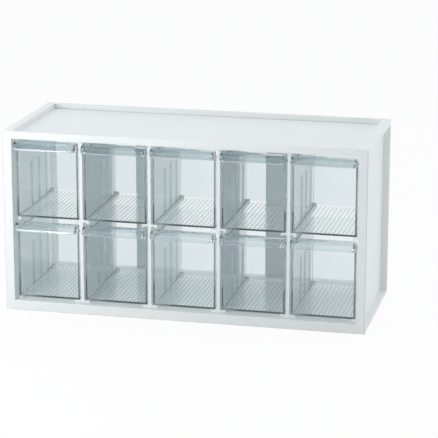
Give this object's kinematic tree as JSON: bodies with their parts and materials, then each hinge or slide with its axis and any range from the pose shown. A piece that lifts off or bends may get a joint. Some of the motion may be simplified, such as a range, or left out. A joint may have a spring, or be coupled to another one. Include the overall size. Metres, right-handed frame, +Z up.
{
  "type": "drawer organizer",
  "caption": "White plastic cabinet with rows of clear pull-out drawers for small craft parts, open at the back, with a sunk top and hooded drawer pulls.",
  "frame": {"origin": "middle of the bounding box's base, on the surface the cabinet stands on", "axes": "+X to the right along a row of drawers, +Y to the open back, +Z up; the drawers pull out along -Y"},
  "size_m": [0.365, 0.1526, 0.1836],
  "materials": {
    "white_plastic": "satin",
    "clear_plastic": "clear, polished"
  },
  "bodies": {
    "cabinet": {"top_panel": "white_plastic", "bottom_panel": "white_plastic", "side_panel_left": "white_plastic", "side_panel_right": "white_plastic", "column_divider_1": "white_plastic", "column_divider_2": "white_plastic", "column_divider_3": "white_plastic", "column_divider_4": "white_plastic", "back_slat_left": "white_plastic", "back_slat_right": "white_plastic"},
    "drawer_lower_1": {"drawer_lower_1": "clear_plastic"},
    "drawer_lower_2": {"drawer_lower_2": "clear_plastic"},
    "drawer_lower_3": {"drawer_lower_3": "clear_plastic"},
    "drawer_lower_4": {"drawer_lower_4": "clear_plastic"},
    "drawer_lower_5": {"drawer_lower_5": "clear_plastic"},
    "drawer_upper_1": {"drawer_upper_1": "clear_plastic"},
    "drawer_upper_2": {"drawer_upper_2": "clear_plastic"},
    "drawer_upper_3": {"drawer_upper_3": "clear_plastic"},
    "drawer_upper_4": {"drawer_upper_4": "clear_plastic"},
    "drawer_upper_5": {"drawer_upper_5": "clear_plastic"}
  },
  "joints": [
    {"name": "drawer_lower_1_slide", "type": "slide", "parent": "cabinet", "child": "drawer_lower_1", "axis": [0, -1, 0], "range_m": [0, 0.085]},
    {"name": "drawer_lower_2_slide", "type": "slide", "parent": "cabinet", "child": "drawer_lower_2", "axis": [0, -1, 0], "range_m": [0, 0.085]},
    {"name": "drawer_lower_3_slide", "type": "slide", "parent": "cabinet", "child": "drawer_lower_3", "axis": [0, -1, 0], "range_m": [0, 0.085]},
    {"name": "drawer_lower_4_slide", "type": "slide", "parent": "cabinet", "child": "drawer_lower_4", "axis": [0, -1, 0], "range_m": [0, 0.085]},
    {"name": "drawer_lower_5_slide", "type": "slide", "parent": "cabinet", "child": "drawer_lower_5", "axis": [0, -1, 0], "range_m": [0, 0.085]},
    {"name": "drawer_upper_1_slide", "type": "slide", "parent": "cabinet", "child": "drawer_upper_1", "axis": [0, -1, 0], "range_m": [0, 0.085]},
    {"name": "drawer_upper_2_slide", "type": "slide", "parent": "cabinet", "child": "drawer_upper_2", "axis": [0, -1, 0], "range_m": [0, 0.085]},
    {"name": "drawer_upper_3_slide", "type": "slide", "parent": "cabinet", "child": "drawer_upper_3", "axis": [0, -1, 0], "range_m": [0, 0.085]},
    {"name": "drawer_upper_4_slide", "type": "slide", "parent": "cabinet", "child": "drawer_upper_4", "axis": [0, -1, 0], "range_m": [0, 0.085]},
    {"name": "drawer_upper_5_slide", "type": "slide", "parent": "cabinet", "child": "drawer_upper_5", "axis": [0, -1, 0], "range_m": [0, 0.085]}
  ]
}
